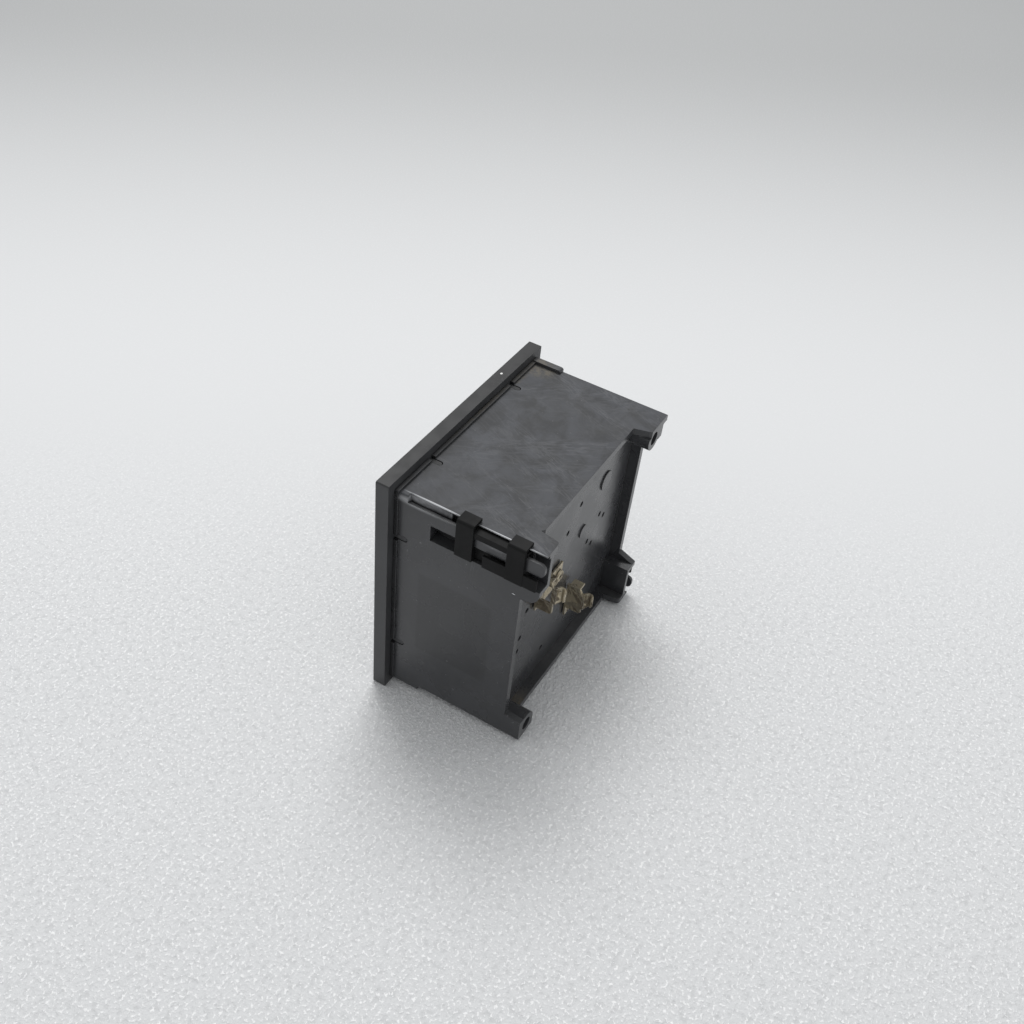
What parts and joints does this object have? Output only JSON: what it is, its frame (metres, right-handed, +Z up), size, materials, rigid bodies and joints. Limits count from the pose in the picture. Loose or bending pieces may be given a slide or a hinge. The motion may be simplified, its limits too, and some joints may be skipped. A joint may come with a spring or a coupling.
{
  "type": "panel ammeter",
  "caption": "Square black panel ammeter with an open rear recess, riveted rear terminals, rail clamps and a moving-iron movement behind a quarter-circle scale.",
  "frame": {"origin": "middle of the bounding box's lower face", "axes": "+Z up, +Y from the front face to the rear, +X to the right seen from the front"},
  "size_m": [0.096, 0.059, 0.096],
  "materials": {
    "black_plastic": "semi-gloss black moulding, scuffed and dusty",
    "matt_black_plastic": "matt black moulding",
    "glass": "clear flat window",
    "rubber": "soft black gasket",
    "dial_white": "off-white painted aluminium",
    "pointer_black": "matt black painted aluminium",
    "steel": "plain steel",
    "brass": "turned and punched brass",
    "terminal_brass": "dull tarnished brass",
    "aluminium": "plain sheet",
    "bobbin_plastic": "cream moulding",
    "copper": "enamelled copper wire",
    "bronze": "phosphor bronze strip"
  },
  "bodies": {
    "case": {"bezel": "black_plastic", "case": "black_plastic", "window_glass": "glass", "window_gasket": "rubber", "pivot_cover": "matt_black_plastic", "dial_plate": "dial_white", "dial_screw_left": "steel", "dial_screw_right": "steel", "movement_frame": "steel", "frame_screw_upper": "steel", "frame_screw_lower": "steel", "front_bridge": "brass", "bridge_screw_upper": "steel", "bridge_screw_lower": "steel", "front_bearing": "brass", "rear_bearing": "brass", "fixed_vane": "steel", "damping_chamber": "aluminium", "damping_cover": "aluminium", "coil_bobbin": "bobbin_plastic", "coil_winding": "copper", "coil_lead_near": "copper", "coil_lead_far": "copper", "terminal_near": "terminal_brass", "terminal_far": "terminal_brass", "terminal_rivet_near": "terminal_brass", "terminal_rivet_far": "terminal_brass"},
    "pointer": {"spindle": "steel", "pointer": "pointer_black", "balance_weight_tail": "brass", "balance_weight_side": "brass", "hairspring": "bronze", "moving_vane": "steel", "damping_vane": "aluminium"},
    "zero_adjuster": {"zero_adjuster": "matt_black_plastic"},
    "zero_lever": {"zero_lever": "brass"},
    "clamp_upper": {"clamp_upper": "matt_black_plastic"},
    "clamp_lower": {"clamp_lower": "matt_black_plastic"}
  },
  "joints": [
    {"name": "pointer_swing", "type": "hinge", "parent": "case", "child": "pointer", "pos_m": [0.024, -0.0295, 0.024], "axis": [0, 1, 0], "range_deg": [0, 90], "stiffness_Nm_per_rad": 0.00005},
    {"name": "zero_adjuster_turn", "type": "hinge", "parent": "case", "child": "zero_adjuster", "pos_m": [0.024, -0.0295, 0.011], "axis": [0, 1, 0], "range_deg": [-45, 45]},
    {"name": "zero_lever_swing", "type": "hinge", "parent": "case", "child": "zero_lever", "pos_m": [0.024, -0.0295, 0.024], "axis": [0, 1, 0], "range_deg": [-4, 4]},
    {"name": "clamp_upper_slide", "type": "slide", "parent": "case", "child": "clamp_upper", "axis": [0, 1, 0], "range_m": [-0.0033, 0.01]},
    {"name": "clamp_lower_slide", "type": "slide", "parent": "case", "child": "clamp_lower", "axis": [0, 1, 0], "range_m": [-0.0033, 0.01]}
  ],
  "couplings": [
    {"joint": "zero_lever_swing", "follows": "zero_adjuster_turn", "ratio": 0.0786}
  ]
}
